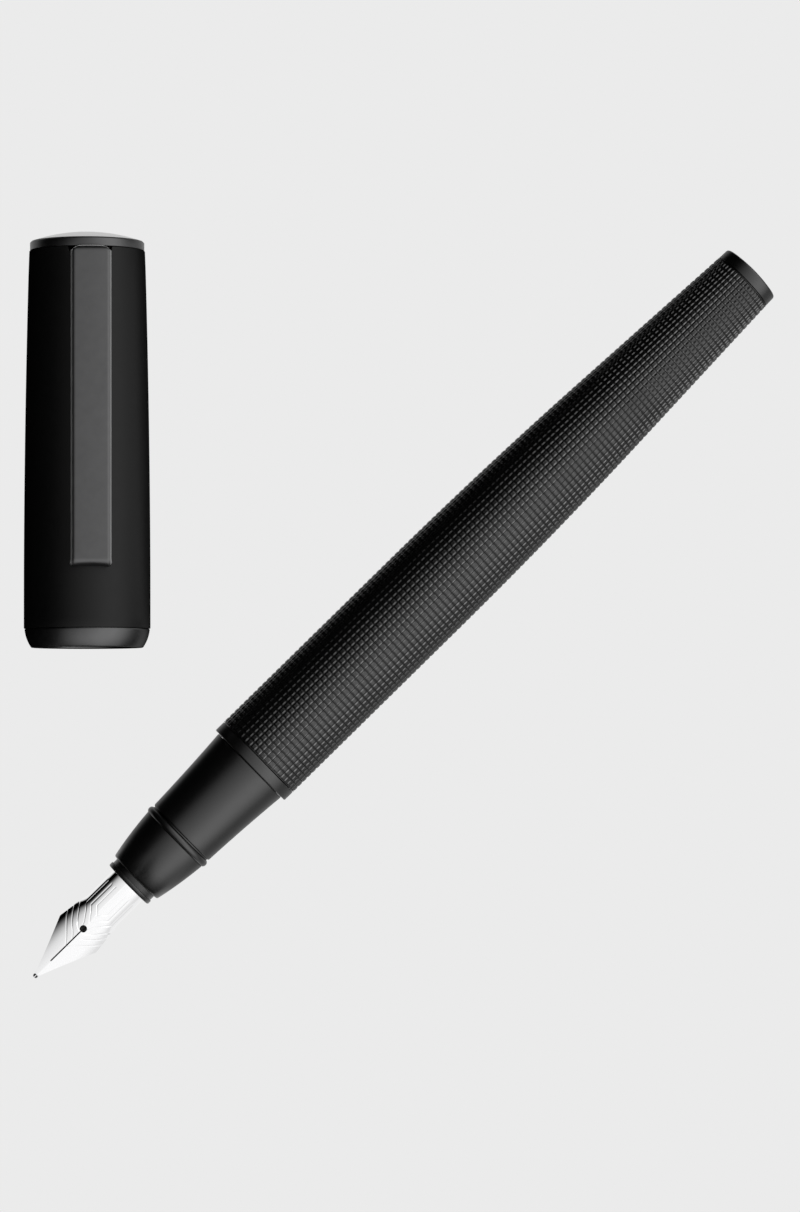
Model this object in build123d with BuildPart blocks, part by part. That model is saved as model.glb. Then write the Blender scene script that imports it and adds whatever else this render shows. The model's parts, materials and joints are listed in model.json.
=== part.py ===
"""A fountain pen with its cap off: the pen lies along +X, nib towards -X, and the cap lies beside it.

Lengths are in millimetres, +Z is up and the table is z = 0. The origin is under the middle of the
whole set. Stations along the pen count from the nib's point, and stations along the cap count
from its mouth. Every turned piece is an outline of (station, radius) spun about its own axis.
"""

from build123d import *
from math import asin, cos, radians, sin
import os

os.makedirs("parts", exist_ok=True)

# ---- driving dimensions -------------------------------------------------------------------
pen_length = 126.0
barrel_radius = 6.15
pen_axis_y = -29.75
pen_tip_x = -pen_length / 2

cap_angle = 45.62
cap_mouth_x = pen_tip_x + 33.4
cap_mouth_y = pen_axis_y + 24.6
cap_radius = 7.95
clip_turn = 5.0

fit_gap = 0.05
slide_gap = 0.08
seam_gap = 0.06

# Barrel stations.
band_start = 37.6
sleeve_start = 39.1
barrel_straight_end = 68.0
barrel_taper_start = 100.0
taper_start_radius = 5.39
sleeve_end = 124.0
tail_radius = 4.23
sleeve_wall = 0.8
liner_start = 51.0
liner_end = 84.0
liner_wall = 0.8
bush_end = 51.0
thread_radius = 4.70
bush_bore = thread_radius + slide_gap

# Section stations.
cone_start = 17.7
cone_front_radius = 3.75
cone_end = 24.45
cone_rear_radius = 4.76
bead_radius = 5.02
bead_start = 24.45
bead_end = 25.45
grip_start = 25.6
grip_front_radius = 4.78
grip_end = 37.55
grip_rear_radius = 5.55
core_end = 49.0
shell_bore = 4.1
nib_unit_bore = 3.0

# Nib unit stations.
flange_start = 16.4
flange_end = 17.0
flange_radius = 3.42
neck_radius = 3.27
nib_unit_end = 30.0
nipple_end = 35.5
nipple_radius = 2.1
nib_base_radius = 2.6
nib_thickness = 0.25
nib_tail = 24.0
shoulder_station = 7.7
shoulder_half_width = 3.22
breather_station = 8.6
breather_radius = 0.45
slit_width = 0.08
tipping_radius = 0.34
tipping_height = 0.95
feed_radius = nib_base_radius - nib_thickness

# Converter stations.
converter_mouth = 30.6
converter_radius = 3.6
chamber_start = 36.5
chamber_radius = 3.05
chamber_end = 62.0
guide_end = 70.0
rod_radius = 1.3
rod_end = 92.5
knob_start = 70.3
knob_end = 94.6
knob_radius = 3.4
piston_start = 58.0
piston_end = 61.6
piston_radius = chamber_radius - 0.04

# Cap stations.
lip_height = 2.3
lip_mouth_radius = 7.08
lip_top_radius = 7.8
mouth_bore = 5.8
spigot_end = 6.0
spigot_radius = 7.15
tube_bore = 6.9
tube_floor = 47.6
tube_roof = 48.66
tube_end = 49.38
top_ring_start = 49.44
top_ring_end = 50.5
top_ring_radius = 7.2
dome_radius = 6.95
dome_rise = 1.25
shank_radius = 1.5
snap_start = 11.9
snap_end = 13.3
clip_width = 5.0
clip_blade_top = 9.4
clip_blade_thickness = 0.6
clip_foot_inner = 6.35
clip_toe = 9.6
clip_foot_height = 49.0

# ---- planes and axes ----------------------------------------------------------------------
pen_origin = (pen_tip_x, pen_axis_y, barrel_radius)
pen_plane = Plane(origin=pen_origin, x_dir=(1, 0, 0), z_dir=(0, -1, 0))
pen_axis = Axis(pen_origin, (1, 0, 0))

cap_origin = (cap_mouth_x, cap_mouth_y, cap_radius)
cap_direction = (cos(radians(cap_angle)), sin(radians(cap_angle)), 0)
cap_side = (sin(radians(cap_angle)), -cos(radians(cap_angle)), 0)
cap_plane = Plane(origin=cap_origin, x_dir=cap_direction, z_dir=cap_side)
cap_axis = Axis(cap_origin, cap_direction)
clip_side = (
    cap_side[0] * cos(radians(clip_turn)),
    cap_side[1] * cos(radians(clip_turn)),
    -sin(radians(clip_turn)),
)
clip_plane = Plane(origin=cap_origin, x_dir=cap_direction, z_dir=clip_side)


def pen_cross(station):
    """The plane square to the pen at a station: local x runs to +Y and local y runs up."""
    centre = (pen_tip_x + station, pen_axis_y, barrel_radius)
    return Plane(origin=centre, x_dir=(0, 1, 0), z_dir=(1, 0, 0))


def ring(start, end, inner, outer, mode=Mode.ADD):
    """Outline of a plain ring or disc between two stations, for spinning about the axis."""
    with Locations((start, inner)):
        Rectangle(end - start, outer - inner, align=(Align.MIN, Align.MIN), mode=mode)


def dome(base_station, base, rise):
    """Arc of a round dome, from its edge to its top on the axis."""
    sphere = (base**2 + rise**2) / (2 * rise)
    half_angle = asin(base / sphere) / 2
    middle = (base_station + rise - sphere * (1 - cos(half_angle)), sphere * sin(half_angle))
    ThreePointArc((base_station, base), middle, (base_station + rise, 0))


def save(part, label):
    """Labels a finished piece and writes it to its own file."""
    part.label = label
    export_step(part, f"parts/{label}.step")


# ---- barrel -------------------------------------------------------------------------------
# Sleeve: straight at the front, then one long arc into a straight taper, with a parallel wall.
arc_middle = (barrel_straight_end + barrel_taper_start) / 2
arc_middle_radius = barrel_radius - (barrel_radius - taper_start_radius) / 4

with BuildPart() as barrel_sleeve:
    with BuildSketch(pen_plane):
        with BuildLine():
            Line((sleeve_start, barrel_radius), (barrel_straight_end, barrel_radius))
            ThreePointArc(
                (barrel_straight_end, barrel_radius),
                (arc_middle, arc_middle_radius),
                (barrel_taper_start, taper_start_radius),
            )
            Line((barrel_taper_start, taper_start_radius), (sleeve_end, tail_radius))
            Line((sleeve_end, tail_radius), (sleeve_end, tail_radius - sleeve_wall))
            Line(
                (sleeve_end, tail_radius - sleeve_wall),
                (barrel_taper_start, taper_start_radius - sleeve_wall),
            )
            ThreePointArc(
                (barrel_taper_start, taper_start_radius - sleeve_wall),
                (arc_middle, arc_middle_radius - sleeve_wall),
                (barrel_straight_end, barrel_radius - sleeve_wall),
            )
            Line(
                (barrel_straight_end, barrel_radius - sleeve_wall),
                (sleeve_start, barrel_radius - sleeve_wall),
            )
            Line((sleeve_start, barrel_radius - sleeve_wall), (sleeve_start, barrel_radius))
        make_face()
    revolve(axis=pen_axis)

# Tail cap: a plain band, a low dome and a spigot that plugs the end of the sleeve.
spigot_length = 5.0
tail_corner = 0.25
tail_face_station = 125.6

with BuildPart() as barrel_end_cap:
    with BuildSketch(pen_plane):
        with BuildLine():
            Line((sleeve_end - spigot_length, 0), (sleeve_end - spigot_length, 3.3))
            Line((sleeve_end - spigot_length, 3.3), (sleeve_end + seam_gap, 3.3))
            Line((sleeve_end + seam_gap, 3.3), (sleeve_end + seam_gap, tail_radius - 0.03))
            Line(
                (sleeve_end + seam_gap, tail_radius - 0.03),
                (tail_face_station - tail_corner, tail_radius - 0.08),
            )
            ThreePointArc(
                (tail_face_station - tail_corner, tail_radius - 0.08),
                (tail_face_station - 0.07, tail_radius - 0.16),
                (tail_face_station, tail_radius - 0.33),
            )
            dome(tail_face_station, tail_radius - 0.33, pen_length - tail_face_station)
            Line((pen_length, 0), (sleeve_end - spigot_length, 0))
        make_face()
    revolve(axis=pen_axis)

# Brass liner behind the bush, inside the straight part of the sleeve.
liner_outer = barrel_radius - sleeve_wall - 0.35

with BuildPart() as barrel_liner:
    with BuildSketch(pen_plane):
        ring(liner_start, liner_end, liner_outer - liner_wall, liner_outer)
        ring(liner_start, 66.0, liner_outer - liner_wall, barrel_radius - sleeve_wall)
    revolve(axis=pen_axis)

# Brass bush with the thread for the section, cut as a plain running bore with a lead-in.
with BuildPart() as barrel_thread_bush:
    with BuildSketch(pen_plane):
        ring(sleeve_start, bush_end, bush_bore, barrel_radius - sleeve_wall)
    revolve(axis=pen_axis)
    chamfer(barrel_thread_bush.edges().filter_by(GeomType.CIRCLE).sort_by(SortBy.RADIUS)[0], 0.2)

# ---- joint between barrel and section -----------------------------------------------------
seal_start = 38.0
seal_groove = 0.86
seal_wire = 0.4

with BuildPart() as front_band:
    with BuildSketch(pen_plane):
        ring(band_start, sleeve_start - seam_gap, bush_bore, barrel_radius - 0.03)
        ring(seal_start, seal_start + seal_groove, bush_bore, 5.58, mode=Mode.SUBTRACT)
    revolve(axis=pen_axis)

with BuildPart() as section_o_ring:
    with BuildSketch(pen_plane):
        with Locations((seal_start + seal_groove / 2, thread_radius + fit_gap + seal_wire)):
            Circle(seal_wire)
    revolve(axis=pen_axis)

# ---- section ------------------------------------------------------------------------------
with BuildPart() as section_grip:
    with BuildSketch(pen_plane):
        with BuildLine():
            Polyline(
                (grip_end, grip_rear_radius),
                (grip_end, shell_bore),
                (grip_start, shell_bore),
                (grip_start, grip_front_radius - 0.1),
                (grip_start + 0.15, grip_front_radius + 0.03),
            )
            ThreePointArc(
                (grip_start + 0.15, grip_front_radius + 0.03),
                ((grip_start + grip_end) / 2, 5.12),
                (grip_end, grip_rear_radius),
            )
        make_face()
    revolve(axis=pen_axis)

bead_middle = (bead_start + bead_end) / 2

with BuildPart() as section_snap_ring:
    with BuildSketch(pen_plane):
        with BuildLine():
            ThreePointArc(
                (bead_start, bead_radius - 0.4),
                (bead_middle, bead_radius),
                (bead_end, bead_radius - 0.4),
            )
            Line((bead_end, bead_radius - 0.4), (bead_end, shell_bore))
            Line((bead_end, shell_bore), (bead_start, shell_bore))
            Line((bead_start, shell_bore), (bead_start, bead_radius - 0.4))
        make_face()
    revolve(axis=pen_axis)

with BuildPart() as section_front_cone:
    with BuildSketch(pen_plane):
        with BuildLine():
            ThreePointArc(
                (cone_start, cone_front_radius - 0.17),
                (cone_start + 0.08, cone_front_radius - 0.05),
                (cone_start + 0.25, cone_front_radius + 0.05),
            )
            ThreePointArc(
                (cone_start + 0.25, cone_front_radius + 0.05),
                (cone_start + 3.4, 4.37),
                (cone_end, cone_rear_radius),
            )
            Line((cone_end, cone_rear_radius), (cone_end, shell_bore))
            Line((cone_end, shell_bore), (cone_start + 3.4, shell_bore - 0.5))
            Line((cone_start + 3.4, shell_bore - 0.5), (cone_start + 3.4, nib_unit_bore))
            Line((cone_start + 3.4, nib_unit_bore), (cone_start, nib_unit_bore))
            Line((cone_start, nib_unit_bore), (cone_start, cone_front_radius - 0.17))
        make_face()
    revolve(axis=pen_axis)

# Core: carries the three shells, the nib unit's socket, the converter's socket and the thread.
core_front = cone_start + 3.4
converter_socket = 30.5
socket_radius = converter_radius + 0.1

with BuildPart() as section_core:
    with BuildSketch(pen_plane):
        ring(core_front, cone_end, nib_unit_bore, shell_bore - 0.5)
        ring(cone_end, grip_end, nib_unit_bore, shell_bore)
        ring(grip_end, core_end, nib_unit_bore, thread_radius)
        ring(converter_socket, core_end, 0, socket_radius, mode=Mode.SUBTRACT)
    revolve(axis=pen_axis)
    chamfer(section_core.faces().sort_by(Axis.X)[-1].outer_wire().edges(), 0.4)

# ---- nib unit -----------------------------------------------------------------------------
collar_bore_end = 25.0

with BuildPart() as nib_collar:
    with BuildSketch(pen_plane):
        ring(flange_start, flange_end, nib_base_radius, flange_radius)
        ring(flange_end, cone_start - fit_gap, nib_base_radius, neck_radius)
        ring(cone_start - fit_gap, collar_bore_end, nib_base_radius, nib_unit_bore - fit_gap)
        ring(collar_bore_end, nib_unit_end, 0.8, nib_unit_bore - fit_gap)
        ring(nib_unit_end, nipple_end, 0.8, nipple_radius)
    revolve(axis=pen_axis)
    chamfer(nib_collar.faces().sort_by(Axis.X)[0].outer_wire().edges(), 0.12)

# Nib: a curved sheet, flatter towards the point, trimmed to the nib's outline from above.
# Each row is station, radius of the sheet's outside, height of its ridge and half its angle.
nib_sections = [
    (nib_tail, nib_base_radius, nib_base_radius, 89.0),
    (12.0, nib_base_radius, nib_base_radius, 89.0),
    (8.0, 3.7, 2.35, 75.0),
    (0.3, 4.5, 1.15, 50.0),
]

with BuildPart() as nib:
    for station, outside, ridge, half_angle in nib_sections:
        inside = outside - nib_thickness
        edge_x = sin(radians(half_angle))
        edge_y = cos(radians(half_angle))
        centre = ridge - outside
        with BuildSketch(pen_cross(station)):
            with BuildLine():
                ThreePointArc(
                    (-outside * edge_x, centre + outside * edge_y),
                    (0, ridge),
                    (outside * edge_x, centre + outside * edge_y),
                )
                Line(
                    (outside * edge_x, centre + outside * edge_y),
                    (inside * edge_x, centre + inside * edge_y),
                )
                ThreePointArc(
                    (inside * edge_x, centre + inside * edge_y),
                    (0, ridge - nib_thickness),
                    (-inside * edge_x, centre + inside * edge_y),
                )
                Line(
                    (-inside * edge_x, centre + inside * edge_y),
                    (-outside * edge_x, centre + outside * edge_y),
                )
            make_face()
    loft(ruled=True)
    with BuildSketch(Plane(origin=pen_origin)) as nib_outline:
        with BuildLine() as half:
            Line((0.3, 0), (0.3, 0.2))
            ThreePointArc((0.3, 0.2), (4.0, 1.62), (shoulder_station, shoulder_half_width))
            Line((shoulder_station, shoulder_half_width), (12.5, nib_base_radius))
            Line((12.5, nib_base_radius), (nib_tail, nib_base_radius))
            Line((nib_tail, nib_base_radius), (nib_tail, 0))
            mirror(half.line, about=Plane.XZ)
        make_face()
        with Locations((breather_station, 0)):
            Circle(breather_radius, mode=Mode.SUBTRACT)
        with Locations((breather_station / 2, 0)):
            Rectangle(breather_station, slit_width, mode=Mode.SUBTRACT)
    extrude(amount=2 * nib_base_radius, both=True, mode=Mode.INTERSECT)

# Tipping: a small ball of hard metal, split by the slit into two halves.
with BuildPart() as nib_tipping:
    with Locations((pen_tip_x + tipping_radius, pen_axis_y, barrel_radius + tipping_height)):
        Sphere(tipping_radius)
        Box(2 * tipping_radius, slit_width, 2 * tipping_radius, mode=Mode.SUBTRACT)

# Feed: round where it sits in the collar, tapering up under the tines, with cooling fins.
fin_pitch = 0.62
fin_gap = 0.28
fin_count = 5

with BuildPart() as nib_feed:
    with BuildSketch(pen_cross(4.3)):
        with Locations((0, 0.75)):
            Circle(0.6)
    with BuildSketch(pen_cross(12.0)):
        Circle(feed_radius)
    loft()
    with BuildSketch(pen_cross(12.0)):
        Circle(feed_radius)
    extrude(amount=collar_bore_end - 12.0)
    with BuildSketch(pen_plane):
        with Locations(*[(12.3 + fin_pitch * i, -feed_radius) for i in range(fin_count)]):
            Rectangle(fin_gap, 2 * 1.1)
    extrude(amount=2 * feed_radius, both=True, mode=Mode.SUBTRACT)

# ---- converter ----------------------------------------------------------------------------
with BuildPart() as converter_tube:
    with BuildSketch(pen_plane):
        ring(converter_mouth, chamber_start, nipple_radius + fit_gap, converter_radius)
        ring(chamber_start, chamber_end, chamber_radius, converter_radius)
    revolve(axis=pen_axis)

sleeve_front = 53.0

with BuildPart() as converter_sleeve:
    with BuildSketch(pen_plane):
        ring(sleeve_front, guide_end, converter_radius, converter_radius + 0.15)
    revolve(axis=pen_axis)

with BuildPart() as converter_guide:
    with BuildSketch(pen_plane):
        ring(chamber_end, guide_end, rod_radius + fit_gap, converter_radius)
    revolve(axis=pen_axis)

with BuildPart() as converter_knob:
    with BuildSketch(pen_plane):
        ring(knob_start, knob_end, 0, knob_radius)
        ring(knob_start, rod_end + 0.6, 0, rod_radius + fit_gap, mode=Mode.SUBTRACT)
    revolve(axis=pen_axis)
    chamfer(converter_knob.faces().sort_by(Axis.X)[-1].outer_wire().edges(), 0.5)

piston_groove = 1.2

with BuildPart() as piston_seal:
    with BuildSketch(pen_plane):
        ring(piston_start, piston_end, 0.9, piston_radius)
        ring(
            piston_start + piston_groove,
            piston_end - piston_groove,
            piston_radius - 0.5,
            piston_radius,
            mode=Mode.SUBTRACT,
        )
    revolve(axis=pen_axis)

rod_groove_pitch = 2.2
rod_groove_count = 13

with BuildPart() as piston_rod:
    with BuildSketch(pen_plane):
        ring(piston_start + 0.4, piston_end, 0, 0.9)
        ring(piston_end, rod_end, 0, rod_radius)
        with Locations(
            *[(piston_end + 1.6 + rod_groove_pitch * i, rod_radius) for i in range(rod_groove_count)]
        ):
            Rectangle(0.8, 0.6, mode=Mode.SUBTRACT)
    revolve(axis=pen_axis)

# ---- cap ----------------------------------------------------------------------------------
with BuildPart() as cap_lip_ring:
    with BuildSketch(cap_plane):
        with BuildLine():
            Polyline(
                (lip_height, lip_top_radius),
                (lip_height, spigot_radius),
                (spigot_end, spigot_radius),
                (spigot_end, mouth_bore),
                (0, mouth_bore),
                (0, lip_mouth_radius - 0.1),
                (0.1, lip_mouth_radius),
            )
            ThreePointArc(
                (0.1, lip_mouth_radius), (1.0, 7.54), (lip_height, lip_top_radius)
            )
        make_face()
    revolve(axis=cap_axis)

# Tube: nearly straight, drawn in slightly towards the closed end, with an end wall.
with BuildPart() as cap_tube:
    with BuildSketch(cap_plane):
        with BuildLine():
            Polyline(
                (tube_end, 6.5),
                (tube_roof, 6.5),
                (tube_roof, shank_radius),
                (tube_floor, shank_radius),
                (tube_floor, tube_bore),
                (spigot_end, tube_bore),
                (spigot_end, spigot_radius),
                (lip_height + seam_gap, spigot_radius),
                (lip_height + seam_gap, cap_radius),
                (9.0, cap_radius),
            )
            ThreePointArc((9.0, cap_radius), (29.0, 7.74), (46.0, 7.48))
            ThreePointArc((46.0, 7.48), (48.2, 7.38), (tube_end, 7.2))
            Line((tube_end, 7.2), (tube_end, 6.5))
        make_face()
    revolve(axis=cap_axis)
    with BuildSketch(clip_plane.offset(-(clip_width + 0.2) / 2)):
        with Locations((tube_roof, 7.0)):
            Rectangle(tube_end - tube_roof + 0.5, 3.0, align=(Align.MIN, Align.CENTER))
    extrude(amount=clip_width + 0.2, mode=Mode.SUBTRACT)

with BuildPart() as cap_top_ring:
    with BuildSketch(cap_plane):
        ring(top_ring_start, top_ring_end, shank_radius, top_ring_radius)
    revolve(axis=cap_axis)
    chamfer(cap_top_ring.edges().filter_by(GeomType.CIRCLE).group_by(SortBy.RADIUS)[-1], 0.12)

shank_end = 45.0

with BuildPart() as cap_finial:
    with BuildSketch(cap_plane):
        with BuildLine():
            dome(top_ring_end, dome_radius, dome_rise)
            Line((top_ring_end, dome_radius), (top_ring_end, shank_radius))
            Line((top_ring_end, shank_radius), (shank_end, shank_radius))
            Line((shank_end, shank_radius), (shank_end, 0))
            Line((shank_end, 0), (top_ring_end + dome_rise, 0))
        make_face()
    revolve(axis=cap_axis)

nut_radius = 2.8

with BuildPart() as cap_nut:
    with BuildSketch(cap_plane):
        ring(shank_end + 0.4, tube_floor, shank_radius, nut_radius)
    revolve(axis=cap_axis)

liner_start_station = spigot_end
liner_radius = tube_bore - fit_gap
grip_chamber_end = 20.2
nib_chamber_end = 44.0

with BuildPart() as inner_cap:
    with BuildSketch(cap_plane):
        ring(liner_start_station, tube_floor, 0, liner_radius)
        ring(liner_start_station, snap_start, 0, mouth_bore, mode=Mode.SUBTRACT)
        ring(snap_start, snap_end, 0, 6.2, mode=Mode.SUBTRACT)
        ring(snap_end, grip_chamber_end, 0, 5.2, mode=Mode.SUBTRACT)
        ring(grip_chamber_end, nib_chamber_end, 0, 3.9, mode=Mode.SUBTRACT)
        ring(shank_end, tube_floor, 0, nut_radius, mode=Mode.SUBTRACT)
    revolve(axis=cap_axis)

# Split spring ring that grips the bead on the section.
spring_wire = 0.55

with BuildPart() as cap_snap_spring:
    with BuildSketch(cap_plane):
        with Locations(((snap_start + snap_end) / 2, 6.15 - spring_wire)):
            Circle(spring_wire)
    revolve(axis=cap_axis, revolution_arc=330)

# Clip: a foot under the top ring, a bend, a long blade and a toe that dips to the tube.
clip_top_outer = 49.32
clip_foot_under = clip_top_outer - clip_blade_thickness
toe_underside = cap_radius + fit_gap

with BuildPart() as clip:
    with BuildSketch(clip_plane.offset(-clip_width / 2)):
        with BuildLine():
            Polyline(
                (clip_foot_under, clip_blade_top - 1.4),
                (clip_foot_under, clip_foot_inner),
                (clip_top_outer, clip_foot_inner),
                (clip_top_outer, clip_blade_top - 0.8),
            )
            RadiusArc(
                (clip_top_outer, clip_blade_top - 0.8),
                (clip_top_outer - 0.8, clip_blade_top),
                -0.8,
            )
            Line((clip_top_outer - 0.8, clip_blade_top), (clip_toe + 1.2, clip_blade_top))
            RadiusArc(
                (clip_toe + 1.2, clip_blade_top),
                (clip_toe, clip_blade_top - 1.2),
                -1.2,
            )
            Polyline(
                (clip_toe, clip_blade_top - 1.2),
                (clip_toe, toe_underside),
                (clip_toe + clip_blade_thickness, toe_underside),
                (clip_toe + 1.6, clip_blade_top - clip_blade_thickness),
                (clip_foot_under - 0.6, clip_blade_top - clip_blade_thickness),
                (clip_foot_under, clip_blade_top - 1.4),
            )
        make_face()
    extrude(amount=clip_width)

# ---- files --------------------------------------------------------------------------------
pieces = {
    "barrel_sleeve": barrel_sleeve,
    "barrel_end_cap": barrel_end_cap,
    "barrel_liner": barrel_liner,
    "barrel_thread_bush": barrel_thread_bush,
    "front_band": front_band,
    "section_o_ring": section_o_ring,
    "section_grip": section_grip,
    "section_snap_ring": section_snap_ring,
    "section_front_cone": section_front_cone,
    "section_core": section_core,
    "nib_collar": nib_collar,
    "nib": nib,
    "nib_tipping": nib_tipping,
    "nib_feed": nib_feed,
    "converter_tube": converter_tube,
    "converter_sleeve": converter_sleeve,
    "converter_guide": converter_guide,
    "converter_knob": converter_knob,
    "piston_seal": piston_seal,
    "piston_rod": piston_rod,
    "cap_lip_ring": cap_lip_ring,
    "cap_tube": cap_tube,
    "cap_top_ring": cap_top_ring,
    "cap_finial": cap_finial,
    "cap_nut": cap_nut,
    "inner_cap": inner_cap,
    "cap_snap_spring": cap_snap_spring,
    "clip": clip,
}
for label, piece in pieces.items():
    save(piece.part, label)

whole = Compound([piece.part for piece in pieces.values()]).bounding_box()
print("box", whole.min, whole.max)
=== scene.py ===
"""The looks of the fountain pen and its cap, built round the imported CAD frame.

Outlines are in millimetres. Along the pen, stations count from the nib's point; along the cap,
they count from its mouth. Ends and outer radii are read from the CAD node that a piece replaces.
"""

import cmath
import json
import math

import bmesh
import bpy
from mathutils import Matrix, Vector


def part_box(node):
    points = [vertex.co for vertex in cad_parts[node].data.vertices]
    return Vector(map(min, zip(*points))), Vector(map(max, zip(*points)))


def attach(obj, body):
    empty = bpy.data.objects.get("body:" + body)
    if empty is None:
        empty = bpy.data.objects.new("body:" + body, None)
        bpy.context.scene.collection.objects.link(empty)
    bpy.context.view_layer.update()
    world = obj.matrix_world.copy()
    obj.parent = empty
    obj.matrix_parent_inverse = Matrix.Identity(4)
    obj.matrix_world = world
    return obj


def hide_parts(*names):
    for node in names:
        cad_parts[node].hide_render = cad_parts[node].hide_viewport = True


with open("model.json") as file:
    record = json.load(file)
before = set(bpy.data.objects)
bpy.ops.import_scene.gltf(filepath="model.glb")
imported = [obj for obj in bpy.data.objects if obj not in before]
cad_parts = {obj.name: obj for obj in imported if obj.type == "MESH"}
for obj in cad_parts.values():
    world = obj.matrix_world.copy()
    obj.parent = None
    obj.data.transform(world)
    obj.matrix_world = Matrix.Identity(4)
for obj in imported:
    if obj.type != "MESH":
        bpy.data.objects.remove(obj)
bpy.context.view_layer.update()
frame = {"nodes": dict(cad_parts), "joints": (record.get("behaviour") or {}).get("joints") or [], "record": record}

MM = 0.001
TURN = 2 * math.pi


# ---- axes ----
class Spindle:
    """An axis of the object, with stations in millimetres along it."""

    def __init__(self, origin, along, up):
        self.origin = Vector(origin)
        self.along = Vector(along).normalized()
        self.up = Vector(up).normalized()
        self.side = self.along.cross(self.up)

    def at(self, station, across, height):
        """The point at a station, so far to the side and so far up, in the row frame."""
        offset = self.along * station + self.side * across + self.up * height
        return self.origin + offset * MM

    def round(self, station, angle, radius):
        """The point at a station, an angle from straight up, and a radius."""
        return self.at(station, radius * math.sin(angle), radius * math.cos(angle))

    def reach(self, node):
        """A CAD node's first and last station and its smallest and largest radius."""
        stations = []
        radii = []
        for vertex in frame["nodes"][node].data.vertices:
            offset = (vertex.co - self.origin) / MM
            station = offset.dot(self.along)
            stations.append(station)
            radii.append((offset - self.along * station).length)
        return min(stations), max(stations), min(radii), max(radii)


sleeve_low, sleeve_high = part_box("barrel_sleeve")
pen_centre = (sleeve_low + sleeve_high) / 2
pen_tip_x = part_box("nib_tipping")[0].x
pen = Spindle((pen_tip_x, pen_centre.y, pen_centre.z), (1, 0, 0), (0, 0, 1))

mouth = next(m for m in frame["record"]["mounts"] if m["name"] == "cap_mouth")
mouth_out = Vector(mouth["axis"])
mouth_centre = Vector(mouth["pos_m"]) + mouth_out * mouth["dims"]["length_mm"] * MM / 2
flex = next(j for j in frame["joints"] if j["name"] == "clip_flex")
clip_up = Vector(flex["axis"]).cross(mouth_out)
cap = Spindle(mouth_centre, -mouth_out, clip_up)


# ---- outlines ----
def rounded(outline, steps=4):
    """A closed outline of (station, radius, fillet) corners as (station, radius) points."""
    points = []
    for i, corner in enumerate(outline):
        here = Vector(corner[:2])
        if len(corner) < 3:
            points.append(here)
            continue
        before = (Vector(outline[i - 1][:2]) - here).normalized()
        after = (Vector(outline[(i + 1) % len(outline)][:2]) - here).normalized()
        half = before.angle(after) / 2
        centre = here + (before + after).normalized() * corner[2] / math.sin(half)
        first = here + before * corner[2] / math.tan(half) - centre
        last = here + after * corner[2] / math.tan(half) - centre
        points += [centre + first.slerp(last, k / steps) * corner[2] for k in range(steps + 1)]
    return [(p.x, p.y) for p in points]


def run(start, end, radius_at, step):
    """Evenly spaced (station, radius) points from start to end along a curve."""
    count = max(1, round(abs(end - start) / step))
    stations = [start + (end - start) * k / count for k in range(count + 1)]
    return [(s, radius_at(s)) for s in stations]


def arc(first, middle, last, steps=10):
    """Points of the circular arc through three (station, radius) points."""
    a, b, c = (complex(*p) for p in (first, middle, last))
    skew = (c - a) / (b - a)
    centre = a + (b - a) * (skew - abs(skew) ** 2) / (2j * skew.imag)
    start = cmath.phase(a - centre)
    sweep = cmath.phase((c - centre) / (a - centre))
    points = [centre + cmath.rect(abs(a - centre), start + sweep * k / steps) for k in range(steps + 1)]
    return [(p.real, p.imag) for p in points]


def dome(start, base, rise, steps=16):
    """Points of a round dome from its rim to its top on the axis."""
    sphere = (base**2 + rise**2) / (2 * rise)
    widest = math.asin(base / sphere)
    points = []
    for k in range(steps + 1):
        angle = widest * (1 - k / steps)
        points.append((start + rise - sphere * (1 - math.cos(angle)), sphere * math.sin(angle)))
    return points


def ease(share):
    """A share held between 0 and 1 and smoothed at both ends."""
    share = min(1, max(0, share))
    return share * share * (3 - 2 * share)


# ---- materials ----
drift_scale = 900
grain_scale = 9000
finishes = {}


def add_node(tree, kind, **inputs):
    """A new node whose inputs are linked from sockets or set to values; _ stands for a space."""
    made = tree.nodes.new(kind)
    for name, value in inputs.items():
        socket = made.inputs[name.replace("_", " ")]
        if isinstance(value, bpy.types.NodeSocket):
            tree.links.new(value, socket)
        else:
            socket.default_value = value
    return made


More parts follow.
